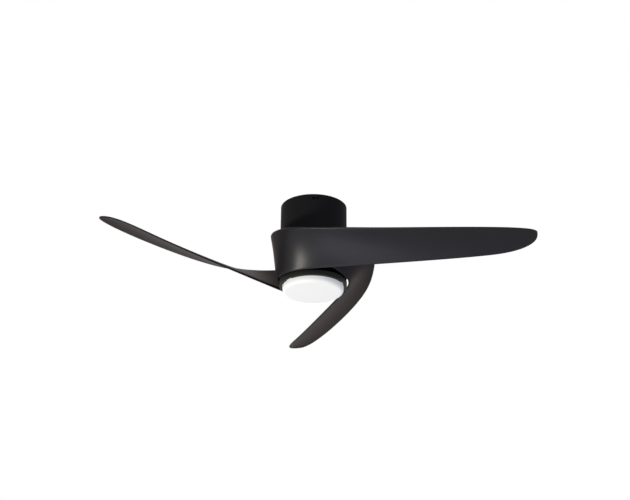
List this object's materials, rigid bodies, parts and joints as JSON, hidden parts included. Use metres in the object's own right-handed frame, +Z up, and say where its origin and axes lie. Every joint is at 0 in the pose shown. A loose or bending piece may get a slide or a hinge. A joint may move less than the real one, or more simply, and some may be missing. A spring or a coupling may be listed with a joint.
{
  "type": "ceiling fan",
  "caption": "Low-profile ceiling fan: ribbon blades wrap a drum-shaped motor under a round canopy, with a flat round opal light below.",
  "frame": {"origin": "centre of the ceiling plate's top face, which lies against the ceiling", "axes": "+Z up along the shaft, into the ceiling; +X along the line of the two ceiling slots; the fan hangs below z = 0"},
  "size_m": [1.1471, 1.039, 0.2675],
  "materials": {
    "zinc_steel": "zinc plated",
    "canopy_paint": "fine matte black coat",
    "black_screw": "satin",
    "steel_screw": "satin",
    "shaft_steel": "ground",
    "white_plastic": "matte",
    "circuit_board": "solder mask",
    "ivory_plastic": "matte",
    "brass": "satin",
    "brown_lead": "satin",
    "red_lead": "satin",
    "blue_lead": "satin",
    "aluminium": "cast",
    "core_steel": "laminated, oiled",
    "copper_wire": "enamelled copper",
    "bearing_steel": "polished",
    "pan_paint": "satin",
    "led_board_white": "white solder mask",
    "led_phosphor": "gloss",
    "bell_paint": "satin black paint",
    "magnet": "nickel plated",
    "blade_plastic": "satin",
    "bracket_metal": "cast, dark paint",
    "pad_rubber": "matte",
    "diffuser_opal": "opal, satin"
  },
  "bodies": {
    "fixed": {"ceiling_plate": "bracket_metal", "canopy": "canopy_paint", "canopy_screws": "black_screw", "hanger_posts": "zinc_steel", "post_screws": "steel_screw", "hanger_plate": "zinc_steel", "motor_shaft": "shaft_steel", "shaft_nuts": "steel_screw", "lock_washers": "steel_screw", "spacer_sleeves": "shaft_steel", "control_box": "white_plastic", "control_board": "circuit_board", "terminal_block": "ivory_plastic", "terminal_screws": "brass", "plate_screws": "steel_screw", "supply_leads": "brown_lead", "motor_leads": "red_lead", "light_leads": "blue_lead", "stator_carrier": "aluminium", "stator_core": "core_steel", "stator_windings": "copper_wire", "motor_board": "circuit_board", "bearing_inner_races": "bearing_steel", "light_pan": "pan_paint", "led_standoffs": "zinc_steel", "led_board": "led_board_white", "leds": "led_phosphor", "led_screws": "steel_screw", "led_driver": "white_plastic"},
    "rotor": {"upper_end_bell": "bell_paint", "lower_end_bell": "bell_paint", "yoke_ring": "core_steel", "magnets": "magnet", "bell_screws": "black_screw", "bearing_outer_races": "bearing_steel", "bearing_balls": "bearing_steel", "blade_1": "blade_plastic", "blade_2": "blade_plastic", "blade_3": "blade_plastic", "blade_bracket_1": "bracket_metal", "blade_bracket_2": "bracket_metal", "blade_bracket_3": "bracket_metal", "blade_pads": "pad_rubber", "bracket_screws": "steel_screw", "blade_screws": "steel_screw"},
    "diffuser": {"diffuser": "diffuser_opal"}
  },
  "joints": [
    {"name": "rotor_spin", "type": "hinge", "parent": "fixed", "child": "rotor", "pos_m": [0, 0, -0.1695], "axis": [0, 0, 1], "continuous": true},
    {"name": "diffuser_twist", "type": "hinge", "parent": "fixed", "child": "diffuser", "pos_m": [0, 0, -0.25], "axis": [0, 0, -1], "range_deg": [0, 20]}
  ]
}
